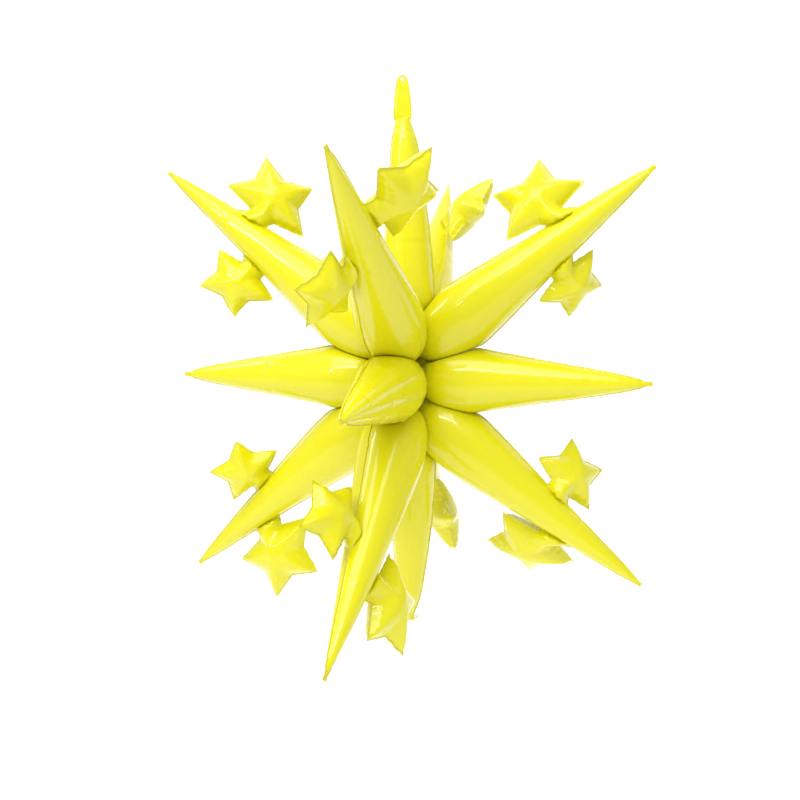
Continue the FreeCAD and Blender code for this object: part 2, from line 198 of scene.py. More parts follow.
def spike_layout():
    """Every spike: name, kind, layer, frame about its tie, and length."""
    spikes = []
    for joint in frame["joints"]:
        if not joint["name"].endswith("_twist"):
            continue
        name = joint["name"][: -len("_twist")]
        tie = Vector(joints[name + "_swing"]["pos_m"])
        z = Vector(joint["axis"]).normalized()
        layer = int(np.sign(round(tie.z - burst.z, 4)))
        if layer:
            star = joints[name + "_large_star_flex"]
            x = Vector(star["pos_m"]) - tie
            x = (x - z * x.dot(z)).normalized()
        else:
            x = Matrix.Rotation(math.radians(SEAM_TURN.get(name, 0)), 3, z) @ Vector((0, 0, 1))
        reach = node_reach(name + "_spike", tie, z)
        spikes.append({"name": name, "kind": "star" if layer else "side", "layer": layer, "tie": tie,
                       "x": x, "y": z.cross(x), "z": z, "length": reach / MM})
    for name, layer, crease in (("top", 1, "hang_tab_fold"), ("bottom", -1, "bottom_tab_fold")):
        tie = burst + Vector((0, 0, layer * tie_height))
        z = Vector((0, 0, layer))
        x = Vector((1, 0, 0))
        length = (Vector(joints[crease]["pos_m"]) - tie).dot(z) / MM
        spikes.append({"name": name, "kind": "pole", "layer": layer, "tie": tie,
                       "x": x, "y": z.cross(x), "z": z, "length": length})
    return spikes


# ---------------------------------------------------------------- flat pattern of the film

def smooth_curve(points, count):
    """Evenly spaced (distance, radius) samples of a monotone curve through the points."""
    xs, ys = np.array(points, float).T
    step, rise = np.diff(xs), np.diff(ys) / np.diff(xs)
    slope = np.concatenate([[rise[0]], np.zeros(len(xs) - 2), [rise[-1]]])
    for i in range(1, len(xs) - 1):
        if rise[i - 1] * rise[i] > 0:
            a, b = 2 * step[i] + step[i - 1], step[i] + 2 * step[i - 1]
            slope[i] = (a + b) / (a / rise[i - 1] + b / rise[i])
    x = np.linspace(xs[0], xs[-1], count)
    i = np.clip(np.searchsorted(xs, x, side="right") - 1, 0, len(xs) - 2)
    t, h = (x - xs[i]) / step[i], step[i]
    y = (2 * t**3 - 3 * t**2 + 1) * ys[i] + (t**3 - 2 * t**2 + t) * h * slope[i]
    y += (3 * t**2 - 2 * t**3) * ys[i + 1] + (t**3 - t**2) * h * slope[i + 1]
    return x, y


def envelope(kind, length):
    """Samples of one envelope: distance from the tie, radius, and length along the film."""
    base, body = {
        "star": (STAR_BASE, STAR_BODY), "side": (SIDE_BASE, SIDE_BODY), "pole": (POLE_BASE, POLE_BODY),
    }[kind]
    points = base + [(length - back, radius) for back, radius in body]
    s, r = smooth_curve(points, 500)
    film = np.concatenate([[0], np.cumsum(np.hypot(np.diff(s), np.diff(r)))])
    return {"s": s, "r": r, "film": film}


def star_points(star, centre, sign):
    """Outline of a star in the flat pattern, from the lower side of its neck round to the upper."""
    inner, radius = star["radius"] * STAR_NOTCH, star["radius"]
    ring = []
    for index in range(10):
        angle = math.radians(180 + 36 * index)
        reach = radius if index % 2 == 0 else inner
        ring.append((reach * math.cos(angle), reach * math.sin(angle)))
    ring = ring[1:]
    neck = min(star["neck_half"], abs(ring[0][1]))
    root = -star["height"] + NECK_OVERLAP
    ring = [(root, -neck), (ring[0][0], -neck)] + ring + [(ring[-1][0], neck), (root, neck)]
    ring = [p for i, p in enumerate(ring) if i not in (2, len(ring) - 3)]
    return [(centre[0] + sign * x, centre[1] + y) for x, y in ring]


def pattern_side(shape, sign, length, stars):
    """One long edge of the flat pattern, from the neck to the tip, with a star spliced in."""
    mine = [s for s in stars if s["side"] == sign]
    points = []
    spliced = False
    for film in np.linspace(0, shape["film"][-1], 120):
        half = HALF_TURN * np.interp(film, shape["film"], shape["r"])
        if mine:
            star = mine[0]
            at = np.interp(length - star["from_tip"], shape["s"], shape["film"])
            if abs(film - at) < star["neck_half"] + NECK_MARGIN:
                if not spliced:
                    spliced = True
                    edge = HALF_TURN * np.interp(at, shape["film"], shape["r"])
                    points += star_points(star, (sign * (edge + star["height"]), at), sign)
                continue
        points.append((sign * half, film))
    return points


def corner_turns(points):
    """How far a closed line turns at each of its points, in radians."""
    before = points - np.roll(points, 1, axis=0)
    after = np.roll(points, -1, axis=0) - points
    lengths = np.linalg.norm(before, axis=1) * np.linalg.norm(after, axis=1)
    return np.arccos(np.clip((before * after).sum(1) / (lengths + 1e-9), -1, 1))


def resampled(points, step):
    """A closed outline at an even spacing that keeps its corners."""
    points = np.array(points, float)
    corners = np.where(corner_turns(points) > SHARP_TURN)[0]
    points = np.roll(points, -corners[0], axis=0)
    corners = np.append(corners - corners[0], len(points))
    ring = np.vstack([points, points[:1]])
    out = []
    for first, last in zip(corners[:-1], corners[1:]):
        run = ring[first: last + 1]
        along = np.concatenate([[0], np.cumsum(np.hypot(*np.diff(run, axis=0).T))])
        at = np.linspace(0, along[-1], max(2, int(round(along[-1] / step)) + 1))[:-1]
        out.append(np.stack([np.interp(at, along, run[:, 0]), np.interp(at, along, run[:, 1])], 1))
    return np.vstack(out)


def inside(points, ring):
    """Which points lie inside a closed outline."""
    x, y = points.T
    found = np.zeros(len(points), bool)
    for (ax, ay), (bx, by) in zip(ring, np.roll(ring, 1, axis=0)):
        crosses = (ay > y) != (by > y)
        found ^= crosses & (x < (bx - ax) * (y - ay) / (by - ay + 1e-12) + ax)
    return found


def edge_distance(points, ring):
    """Distance of each point from a closed outline."""
    nearest = np.full(len(points), 1e9)
    for a, b in zip(ring, np.roll(ring, -1, axis=0)):
        along = b - a
        t = np.clip(((points - a) @ along) / (along @ along + 1e-12), 0, 1)
        nearest = np.minimum(nearest, np.hypot(*(points - a - t[:, None] * along).T))
    return nearest


def triangulated(ring, step, seed, hole=None):
    """An even triangle mesh of the inside of an outline. The outline's points come first."""
    rng = np.random.default_rng(seed)
    low, high = ring.min(0), ring.max(0)
    rows = np.arange(low[1], high[1], step * 0.866)
    columns = np.arange(low[0], high[0], step)
    grid = [(x + (i % 2) * step / 2, y) for i, y in enumerate(rows) for x in columns]
    grid = np.array(grid)
    grid += rng.uniform(-GRID_JITTER, GRID_JITTER, grid.shape) * step
    grid = grid[inside(grid, ring)]
    grid = grid[edge_distance(grid, ring) > RIM_CLEARANCE * step]
    loops = [list(range(len(ring)))]
    points = ring
    if hole is not None:
        keep = ~inside(grid, hole) & (edge_distance(grid, hole) > 0.5 * step)
        grid = grid[keep]
        loops.append(list(range(len(ring), len(ring) + len(hole))))
        points = np.vstack([ring, hole])
    links = [(a, b) for loop in loops for a, b in zip(loop, loop[1:] + loop[:1])]
    corners = [Vector(p) for p in np.vstack([points, grid])]
    made = geometry.delaunay_2d_cdt(corners, links, [loops[0]], 1, 1e-6)
    places = np.array([tuple(p) for p in made[0]])
    faces = np.array([tuple(f) for f in made[2]])
    if hole is not None:
        faces = faces[~inside(places[faces].mean(1), hole)]
    a, b, c = places[faces[:, 0]], places[faces[:, 1]], places[faces[:, 2]]
    turned = (b[:, 0] - a[:, 0]) * (c[:, 1] - a[:, 1]) - (b[:, 1] - a[:, 1]) * (c[:, 0] - a[:, 0]) < 0
    faces[turned] = faces[turned][:, ::-1]
    return places, faces


# ---------------------------------------------------------------- inflating the pattern

def inflated(kind, length, seed):
    """One inflated envelope in its own frame, in millimetres, with its flat pattern beside it."""
    stars = list(STARS.values()) if kind == "star" else []
    shape = envelope(kind, length)
    right = pattern_side(shape, 1, length, stars)
    left = pattern_side(shape, -1, length, stars)
    ring = resampled(right + left[::-1], FILM_STEP)
    flat, faces = triangulated(ring, FILM_STEP, seed)
    count = len(flat)
    rim = np.zeros(count, bool)
    rim[: len(ring)] = True
    depth = edge_distance(flat, ring)
    depth[rim] = 0

    u, film = flat.T
    s = np.interp(film, shape["film"], shape["s"])
    r = np.interp(film, shape["film"], shape["r"])
    half = HALF_TURN * r
    in_body = np.abs(u) <= half
    turn = np.clip(u / half, -1, 1) * math.pi / 2
    x = np.where(in_body, r * np.sin(turn), np.sign(u) * (r + (np.abs(u) - half) * 0.95))
    puff = np.where(in_body, r * np.cos(turn), 0)
    puff = np.maximum(puff, np.sqrt(np.maximum(depth, 0) * 26) * np.where(in_body, 0.35, 0.8))
    puff[rim] = 0

    excess = pucker_need(film, shape)
    rng = np.random.default_rng(seed + 100)
    phase = np.cumsum(rng.normal(0, 0.1, 2000))
    drift = np.interp(film, np.arange(2000), phase)
    wave = np.sin(2 * math.pi * film / PUCKER_LENGTH + drift + (u > 0) * 2.0)
    wave = wave * PUCKER_DEPTH * np.clip(excess, 0, 1) * np.exp(-depth / PUCKER_FADE)
    star_wave = np.sin(2 * math.pi * (film + 0.6 * u) / STAR_PUCKER_LENGTH) * STAR_PUCKER_DEPTH
    star_wave = star_wave * np.exp(-depth / STAR_PUCKER_FADE)
    wave = np.where(in_body, wave, star_wave)

    back = np.arange(count)
    back[~rim] = count + np.arange((~rim).sum())
    top = np.stack([x, -puff + wave, s], 1)
    bottom = np.stack([x, puff + wave, s], 1)[~rim]
    verts = np.vstack([top, bottom])
    rest_flat = np.stack([u, 0 * u, film], 1)
    rest = np.vstack([rest_flat, rest_flat[~rim]])
    all_faces = np.vstack([faces, back[faces][:, ::-1]])
    verts = blown_up(verts, rest, all_faces)
    start, end = verts[:, 2].min(), verts[:, 2].max()
    reach = length - (SEAM_WIDTH if kind != "pole" else 0)
    verts[:, 2] = start + (verts[:, 2] - start) * (reach - start) / (end - start)
    return {"verts": verts, "faces": faces, "back": back, "flat": flat, "rim": np.where(rim)[0],
            "rim_order": np.arange(len(ring)), "depth": depth, "shape": shape, "kind": kind, "length": length}


def pucker_need(film, shape):
    """How much shorter the seam becomes than its film where the outline turns, from 0 to 1."""
    slope = np.gradient(shape["r"], shape["s"])
    flat_length = np.hypot(HALF_TURN * slope, np.hypot(1, slope))
    need = flat_length / np.hypot(slope, 1) - 1
    return np.clip(np.interp(film, shape["film"], need) * 4, 0, 1)


def blown_up(verts, rest, faces):
    """The film mesh after a pressure simulation whose rest lengths are those of the flat pattern."""
    mesh = bpy.data.meshes.new("film")
    mesh.from_pydata((verts * MM).tolist(), [], faces.tolist())
    film = bpy.data.objects.new("film", mesh)
    scene = bpy.context.scene
    scene.collection.objects.link(film)
    film.shape_key_add(name="Basis")
    key = film.shape_key_add(name="flat")
    key.data.foreach_set("co", (rest * MM).astype(np.float32).ravel())
    cloth = film.modifiers.new("Cloth", "CLOTH")
    settings = cloth.settings
    settings.quality = 8
    settings.mass = 0.1
    settings.tension_stiffness = FILM_STIFFNESS
    settings.compression_stiffness = FILM_STIFFNESS
    settings.shear_stiffness = FILM_STIFFNESS / 2
    settings.bending_stiffness = 0.1
    settings.use_pressure = True
    settings.uniform_pressure_force = SIM_PRESSURE
    settings.effector_weights.gravity = 0
    settings.rest_shape_key = key
    cloth.collision_settings.use_collision = False
    cloth.point_cache.frame_start = 1
    cloth.point_cache.frame_end = SIM_FRAMES
    for number in range(1, SIM_FRAMES + 1):
        scene.frame_set(number)
    shown = film.evaluated_get(bpy.context.evaluated_depsgraph_get())
    out = np.zeros(len(verts) * 3, np.float32)
    shown.data.vertices.foreach_get("co", out)
    bpy.data.objects.remove(film)
    bpy.data.meshes.remove(mesh)
    scene.frame_set(1)
    return out.reshape(-1, 3).astype(float) / MM


# ---------------------------------------------------------------- one spike from an envelope

def with_seam(made, verts, flip):
    """Adds the welded seam to an envelope: vertices, faces and per-vertex film coordinates."""
    rim, back, faces = made["rim"], made["back"], made["faces"]
    count = len(verts)
    order = made["rim_order"]
    ahead = verts[np.roll(order, -1)] - verts[np.roll(order, 1)]
    ahead /= np.linalg.norm(ahead, axis=1)[:, None] + 1e-9
    inward = inner_direction(verts, made)
    inward -= ahead * (inward * ahead).sum(1)[:, None]
    outward = -inward / (np.linalg.norm(inward, axis=1)[:, None] + 1e-9)
    outward = smooth_ring(outward, 2)
    outward /= np.linalg.norm(outward, axis=1)[:, None] + 1e-9
    across = np.cross(ahead, outward) * (-1 if flip else 1)
    miter = 1 / np.clip(np.cos(corner_turns(verts[order]) / 2), 0.5, 1)
    outer = verts[order] + outward * (SEAM_WIDTH * miter)[:, None]
    half = across * SEAM_THICK / 2
    places = np.vstack([verts, verts[order], outer - half, outer + half])
    n = len(order)
    rim_back = count + np.arange(n)
    out_front, out_back = rim_back + n, rim_back + 2 * n
    swap = {int(a): int(b) for a, b in zip(order, rim_back)}
    lower = np.array([[swap.get(int(i), int(i)) for i in f] for f in back[faces][:, ::-1]])
    quads = []
    for i in range(n):
        j = (i + 1) % n
        quads.append((order[j], order[i], out_front[i], out_front[j]))
        quads.append((out_front[j], out_front[i], out_back[i], out_back[j]))
        quads.append((out_back[j], out_back[i], rim_back[i], rim_back[j]))
    places[rim_back] += across * SEAM_SPREAD
    places[order] -= across * SEAM_SPREAD
    flat = made["flat"]
    inner = np.setdiff1d(np.arange(len(flat)), rim)
    depth = made["depth"]
    sides = np.concatenate([np.zeros(len(flat)), np.ones(len(inner)), np.ones(n), np.zeros(n), np.ones(n)])
    film = np.vstack([flat, flat[inner], flat[order], flat[order], flat[order]])
    inset = np.concatenate([depth, depth[inner], np.zeros(n), np.full(2 * n, -SEAM_WIDTH)])
    if made["kind"] != "pole":
        tip = made["shape"]["film"][-1] - film[:, 1]
        inset = np.where(tip < TIP_TAB, np.minimum(inset, (tip - TIP_TAB) / 3), inset)
    polygons = [tuple(int(i) for i in f) for f in faces] + [tuple(f) for f in lower] + quads
    return places, polygons, film, sides, inset


def inner_direction(verts, made):
    """Mean direction from each rim vertex to its neighbours inside the envelope."""
    total = np.zeros((len(made["rim_order"]), 3))
    rims = len(made["rim_order"])
    for faces in (made["faces"], made["back"][made["faces"]]):
        for a in range(3):
            for b in range(3):
                start, end = faces[:, a], faces[:, b]
                use = (start < rims) & (end >= rims)
                np.add.at(total, start[use], verts[end[use]] - verts[start[use]])
    return total


def smooth_ring(values, times):
    """Values round a ring, averaged with their neighbours."""
    for _ in range(times):
        values = (np.roll(values, 1, 0) + 2 * values + np.roll(values, -1, 0)) / 4
    return values


def creased(verts, spike, rng):
    """Shallow cross creases, at uneven distances, each over part of the spike's girth."""
    out = verts.copy()
    for _ in range(CREASES):
        at = rng.uniform(0.38, 0.86) * spike["length"]
        angle = rng.uniform(0, 2 * math.pi)
        depth = rng.uniform(0.5, 1.3)
        slant = rng.uniform(-0.3, 0.3)
        radius = np.hypot(out[:, 0], out[:, 1])
        turn = np.arctan2(out[:, 1], out[:, 0])
        reach = np.cos(turn - angle)
        line = np.exp(-(((out[:, 2] - at - slant * radius * np.sin(turn - angle)) / 3.2) ** 2))
        dent = depth * line * np.clip(reach, 0, 1) ** 0.7
        limit = (radius < 60) & (radius > 4)
        scale = np.where(limit, 1 - dent / np.maximum(radius, 4), 1)
        out[:, :2] *= scale[:, None]
    return out


def posed(verts, made, name):
    """Turns the stars of an envelope to their own poses, each gradually along its neck."""
    out = verts.copy()
    flat, inner = made["flat"], np.setdiff1d(np.arange(len(made["flat"])), made["rim"])
    flat = np.vstack([flat, flat[inner]])
    shape = made["shape"]
    beyond = np.abs(flat[:, 0]) - HALF_TURN * np.interp(flat[:, 1], shape["film"], shape["r"])
    for size, star in STARS.items():
        about_neck, in_plane, lean, growth, shift = STAR_POSES.get((name, size), (0, 0, 0, 1, 0))
        distance = made["length"] - star["from_tip"]
        root = np.array([star["side"] * np.interp(distance, shape["s"], shape["r"]), 0, distance])
        at = np.interp(distance, shape["s"], shape["film"])
        on = (np.sign(flat[:, 0]) == star["side"]) & (np.abs(flat[:, 1] - at) < star["radius"] * 1.3)
        share = np.where(on, np.clip(beyond / NECK_BEND, 0, 1), 0)
        share = share * share * (3 - 2 * share)
        moved = out - root
        for axis, angle in ((0, about_neck), (1, in_plane), (2, lean)):
            turn = np.radians(angle) * share
            a, b = moved[:, (axis + 1) % 3].copy(), moved[:, (axis + 2) % 3].copy()
            moved[:, (axis + 1) % 3] = np.cos(turn) * a - np.sin(turn) * b
            moved[:, (axis + 2) % 3] = np.sin(turn) * a + np.cos(turn) * b
        moved *= (1 + (growth - 1) * share)[:, None]
        moved[:, 2] += shift * share
        out = root + moved
    return out


def placed(verts, spike):
    """Moves an envelope from its own frame in millimetres to the row frame, with its drift and bow."""
    x, y, z = (np.array(spike[k]) for k in "xyz")
    out = verts[:, :1] * x + verts[:, 1:2] * y + verts[:, 2:] * z
    right, up = TIP_DRIFT.get(spike["name"], (0, 0))
    share = np.clip((verts[:, 2] - DRIFT_START) / (spike["length"] - DRIFT_START), 0, 1.1) ** 1.6
    out += share[:, None] * np.array([right, 0, up])
    arch = np.sin(math.pi * np.clip((verts[:, 2] - BOW_START) / (spike["length"] - BOW_START), 0, 1))
    out[:, 0] += arch * BOW.get(spike["name"], 0)
    return out * MM + np.array(spike["tie"])


def soft_limit(excess):
    """Moves what is past a limit back to it, with a soft start."""
    soft = CONTACT_SOFT * MM
    return -soft * np.logaddexp(0, -excess / soft)


def pushed(girth, height, line, sign):
    """Moves points that are past a line in the plane of girth and height back to it."""
    slope, start, level = line
    normal = np.array([-math.sin(slope), math.cos(slope)])
    distance = (girth - start) * normal[0] + (height - level) * normal[1]
    excess = sign * distance + CONTACT_GAP * MM
    moved = soft_limit(excess) - excess
    return girth + sign * moved * normal[0], height + sign * moved * normal[1]


def pressed(points, spike):
    """Presses the base of a spike flat where it meets its neighbours."""
    local = points - np.array(burst)
    elevation = math.asin(abs(layout_by_name["upper_right"]["z"].z))
    girth = np.hypot(local[:, 0], local[:, 1])
    layer = spike["layer"] or 1
    height = local[:, 2] * layer
    back = tie_height / math.tan(elevation)
    pole_line = ((math.pi / 2 + elevation) / 2, 0.0, tie_height)
    side_line = (elevation / 2, -back, 0.0)

    if spike["kind"] == "star":
        new_girth, new_height = pushed(girth, height, pole_line, 1)
        new_girth, new_height = pushed(new_girth, new_height, side_line, -1)
    elif spike["kind"] == "pole":
        new_girth, new_height = pushed(girth, height, pole_line, -1)
    else:
        mirror = np.sign(height)
        new_girth, folded = pushed(girth, np.abs(height), side_line, 1)
        new_height = folded * np.where(mirror == 0, 1, mirror)

    near = girth < PRESS_GIRTH
    out = local.copy()
    out[:, 2] = np.where(near, new_height, height) * layer
    if spike["kind"] == "pole":
        new_girth = np.where(near, np.maximum(new_girth, LEAST_GIRTH), girth)
        out[:, :2] *= (new_girth / np.maximum(girth, 1e-6))[:, None]
        return out + np.array(burst)

    # The neighbours of the same layer meet on planes at 45 degrees to each side.
    facing = np.array([spike["z"].x, spike["z"].y])
    facing /= np.linalg.norm(facing)
    sideways = np.array([-facing[1], facing[0]])
    ahead = (local[:, :2] @ facing) * new_girth / np.maximum(girth, 1e-6)
    aside = (local[:, :2] @ sideways) * new_girth / np.maximum(girth, 1e-6)
    excess = (np.abs(aside) - ahead) * math.sqrt(0.5) + CONTACT_GAP * MM
    moved = (soft_limit(excess) - excess) * math.sqrt(0.5)
    moved = np.where(near, moved, 0)
    aside = np.sign(aside) * np.maximum(np.abs(aside) + moved, 0)
    ahead = ahead - moved
    out[:, :2] = np.stack([ahead * facing[0] - aside * facing[1], ahead * facing[1] + aside * facing[0]], 1)
    return out + np.array(burst)


def refined(places, polygons, film, sides, inset, creased_rims):
    """A subdivided mesh with its film coordinates kept as attributes."""
    mesh = bpy.data.meshes.new("envelope")
    mesh.from_pydata(places.tolist(), [], [tuple(int(i) for i in f) for f in polygons])
    mesh.update()
    coords = np.stack([film[:, 0] * MM, film[:, 1] * MM, sides], 1)
    attribute = mesh.attributes.new("film", "FLOAT_VECTOR", "POINT")
    attribute.data.foreach_set("vector", coords.astype(np.float32).ravel())
    attribute = mesh.attributes.new("inset", "FLOAT", "POINT")
    attribute.data.foreach_set("value", (inset * MM).astype(np.float32))
    edges = np.array([tuple(e.vertices) for e in mesh.edges])
    sharp = creased_rims[edges[:, 0]] & creased_rims[edges[:, 1]]
    crease = mesh.attributes.new("crease_edge", "FLOAT", "EDGE")
    crease.data.foreach_set("value", np.where(sharp, 0.75, 0.0).astype(np.float32))
    shell = bpy.data.objects.new("envelope", mesh)
    bpy.context.scene.collection.objects.link(shell)
    shell.modifiers.new("fine", "SUBSURF").levels = 1
    bpy.context.view_layer.update()
    fine = bpy.data.meshes.new_from_object(shell.evaluated_get(bpy.context.evaluated_depsgraph_get()))
    bpy.data.objects.remove(shell)
    bpy.data.meshes.remove(mesh)
    return fine


def split(mesh, part, normals, name):
    """A new object of some of a mesh's polygons, with the whole mesh's normals. Open ends are closed."""
    count = len(mesh.vertices)
    co = np.zeros(count * 3, np.float32)
    mesh.vertices.foreach_get("co", co)
    co = co.reshape(-1, 3)
    film = np.zeros(count * 3, np.float32)
    mesh.attributes["film"].data.foreach_get("vector", film)
    film = film.reshape(-1, 3)
    inset = np.zeros(count, np.float32)
    mesh.attributes["inset"].data.foreach_get("value", inset)
    polygons = [tuple(mesh.polygons[i].vertices) for i in part]
    used = sorted({v for p in polygons for v in p})
    index = {v: i for i, v in enumerate(used)}
    polygons = [tuple(index[v] for v in p) for p in polygons]
    places = co[used].astype(float)
    ends = [(places[loop].mean(0), loop) for loop in open_loops(polygons)]
    kept_normals = normals[used]
    kept_film, kept_inset = film[used], inset[used]
    for centre, loop in ends:
        hub = len(places)
        places = np.vstack([places, centre])
        kept_normals = np.vstack([kept_normals, [[0, 0, 1]]])
        kept_film = np.vstack([kept_film, kept_film[loop[0]]])
        kept_inset = np.append(kept_inset, kept_inset[loop[0]])
        polygons += [(b, a, hub) for a, b in zip(loop, loop[1:] + loop[:1])]
    out = bpy.data.meshes.new(name)
    out.from_pydata(places.tolist(), [], polygons)
    attribute = out.attributes.new("film", "FLOAT_VECTOR", "POINT")
    attribute.data.foreach_set("vector", kept_film.astype(np.float32).ravel())
    attribute = out.attributes.new("inset", "FLOAT", "POINT")
    attribute.data.foreach_set("value", kept_inset.astype(np.float32))
    out.polygons.foreach_set("use_smooth", [True] * len(polygons))
    out.update()
    out.normals_split_custom_set_from_vertices(kept_normals.tolist())
    piece = bpy.data.objects.new(name, out)
    bpy.context.scene.collection.objects.link(piece)
    return piece


def open_loops(polygons):
    """The boundary loops of a mesh, each as its vertices in the direction of its polygons."""
    links = {}
    for p in polygons:
        for a, b in zip(p, p[1:] + p[:1]):
            links[(a, b)] = True
    following = {a: b for a, b in links if (b, a) not in links}
    loops = []
    while following:
        start = next(iter(following))
        loop, at = [start], following.pop(start)
        while at != start and at in following:
            loop.append(at)
            at = following.pop(at)
        loops.append(loop)
    return loops


def vertex_normals(mesh):
    """A mesh's vertex normals as an array."""
    normals = np.zeros(len(mesh.vertices) * 3, np.float32)
    mesh.vertex_normals.foreach_get("vector", normals)
    return normals.reshape(-1, 3)


def star_areas(mesh, made):
    """For each polygon, 0 for the spike's own film, or the number of the star that it is on."""
    count = len(mesh.vertices)
    film = np.zeros(count * 3, np.float32)
    mesh.attributes["film"].data.foreach_get("vector", film)
    film = film.reshape(-1, 3) / MM
    shape = made["shape"]
    half = HALF_TURN * np.interp(film[:, 1], shape["film"], shape["r"])
    areas = np.zeros(len(mesh.polygons), int)
    if made["kind"] != "star":
        return areas
    out = np.abs(film[:, 0]) - half
    for number, star in enumerate(STARS.values(), 1):
        at = np.interp(made["length"] - star["from_tip"], shape["s"], shape["film"])
        on = (np.sign(film[:, 0]) == star["side"]) & (out > CUT_HEIGHT)
        on &= np.abs(film[:, 1] - at) < star["radius"] * 1.3
        for polygon in mesh.polygons:
            if all(on[v] for v in polygon.vertices):
                areas[polygon.index] = number
    return areas


def build_spike(spike, made, flip, seed):
    """Makes the pieces of one spike: its film, its pressed base, and a star spike's two stars."""
    rng = np.random.default_rng(seed)
    verts = creased(made["verts"], spike, rng)
    if flip:
        verts[:, 1] *= -1
    if spike["kind"] == "star":
        verts = posed(verts, made, spike["name"])
    places, polygons, film, sides, inset = with_seam(made, verts, flip)
    if flip:
        polygons = [p[::-1] for p in polygons]
    places = pressed(placed(places, spike), spike)
    rims = np.zeros(len(places), bool)
    rims[made["rim_order"]] = True
    rims[len(verts):] = True
    mesh = refined(places, polygons, film, sides, inset, rims)
    areas = star_areas(mesh, made)
    normals = vertex_normals(mesh)
    name = spike["name"]
    own = areas == 0
    tie, along = spike["tie"], spike["z"]
    if spike["kind"] == "pole":
        film_part = own
    else:
        reach = np.array([(polygon.center - tie).dot(along) for polygon in mesh.polygons])
        film_part = own & (reach >= BASE_REACH)
        base = split(mesh, np.where(own & (reach < BASE_REACH))[0], normals, name + "_base_film")
        finish_piece(base, name + "_spike")
        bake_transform(base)
    body = split(mesh, np.where(film_part)[0], normals, name + "_film")
    finish_piece(body, name + "_spike")
    if spike["kind"] == "pole":
        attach(body, name + "_spike")
    else:
        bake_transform(body)
    for number, size in enumerate(STARS, 1):
        part = np.where(areas == number)[0]
        if not len(part):
            continue
        node = f"{name}_{size}_star"
        star = split(mesh, part, normals, node + "_film")
        finish_piece(star, node)
        root = Vector(joints[node + "_flex"]["pos_m"])
        low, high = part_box(node)
        away = ((low + high) / 2 - root)
        along = Vector(joints[node + "_flex"]["axis"])
        away = (away - along * away.dot(along)).normalized()
        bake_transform(star)
    bpy.data.meshes.remove(mesh)


def finish_piece(piece, node):
    """What every film piece has: its material; the CAD node it stands for is hidden."""
    piece.data.materials.append(foil)
    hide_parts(node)


# ---------------------------------------------------------------- end tabs

def end_tab(name, node, joint, fold=0.0):
    """Makes a flat end tab of welded film, with a hole, bent at its crease by the given fold."""
    crease = Vector(joints[joint]["pos_m"])
    layer = 1 if crease.z > burst.z else -1
    left = [(-x, y) for x, y in END_TAB_SIDE[::-1][1:]]
    ring = resampled(END_TAB_SIDE + left, 1.7)
    steps = np.linspace(0, 2 * math.pi, 22, endpoint=False)
    hole = np.stack([END_HOLE_RADIUS * np.cos(steps),
                     END_TAB_LENGTH - END_HOLE_INSET + END_HOLE_RADIUS * np.sin(steps)], 1)
    flat, faces = triangulated(ring, 2.0, 5, hole)
    bounds = edge_distance(flat, ring)
    to_hole = edge_distance(flat, hole)
    puff = 0.30 + 0.75 * np.clip((bounds - 2.6) / 3.0, 0, 1) * np.clip((to_hole - 2.4) / 4.0, 0, 1)
    u, t = flat.T
    wave = 0.9 * np.sin(t / 9.0 + 0.6) * (u / 12.0) + 0.5 * np.sin(t / 5.3 + u / 6.0)
    wave *= np.clip(t / 12.0, 0, 1) * np.clip((END_TAB_LENGTH - 4 - t) / 14.0, 0, 1)
    bend = np.clip(t / FOLD_RADIUS, 0, fold)
    past = t - bend * FOLD_RADIUS
    along = np.where(t > 0, FOLD_RADIUS * np.sin(bend) + past * np.cos(bend), t)
    across = np.where(t > 0, FOLD_RADIUS * (1 - np.cos(bend)) + past * np.sin(bend), 0)
    normal_y, normal_z = np.cos(bend), -np.sin(bend)
    places = []
    for sign in (-1, 1):
        shift = sign * puff + wave
        y = across + shift * normal_y
        z = along + shift * normal_z
        places.append(np.stack([u, y, layer * z], 1))
    count = len(flat)
    top, bottom = faces, faces[:, ::-1] + count
    if layer < 0:
        top, bottom = top[:, ::-1], bottom[:, ::-1]
    polygons = [tuple(int(i) for i in f) for f in np.vstack([top, bottom])]
    for loop in open_loops([tuple(int(i) for i in f) for f in top]):
        for a, b in zip(loop, loop[1:] + loop[:1]):
            polygons.append((b, a, a + count, b + count))
    verts = np.vstack(places) * MM + np.array(crease)
    film = np.vstack([flat, flat])
    inset = np.minimum(bounds, to_hole) - 3.0
    mesh = refined(verts, polygons, film, np.zeros(2 * count), np.concatenate([inset, inset]),
                   np.zeros(2 * count, bool))
    piece = split(mesh, range(len(mesh.polygons)), vertex_normals(mesh), name)
    bpy.data.meshes.remove(mesh)
    piece.data.materials.append(foil)
    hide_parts(node)
    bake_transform(piece)


# ---------------------------------------------------------------- materials

def new_material(name):
    """An empty node material, its shader and its node tree."""
    material = bpy.data.materials.new(name)
    material.use_nodes = True
    tree = material.node_tree
    return material, tree.nodes["Principled BSDF"], tree


def node(tree, kind, **values):
    """A node with its properties and input values set."""
    made = tree.nodes.new(kind)
    for key, value in values.items():
        if hasattr(made, key):
            setattr(made, key, value)
        else:
            made.inputs[key.replace("_", " ")].default_value = value
    return made


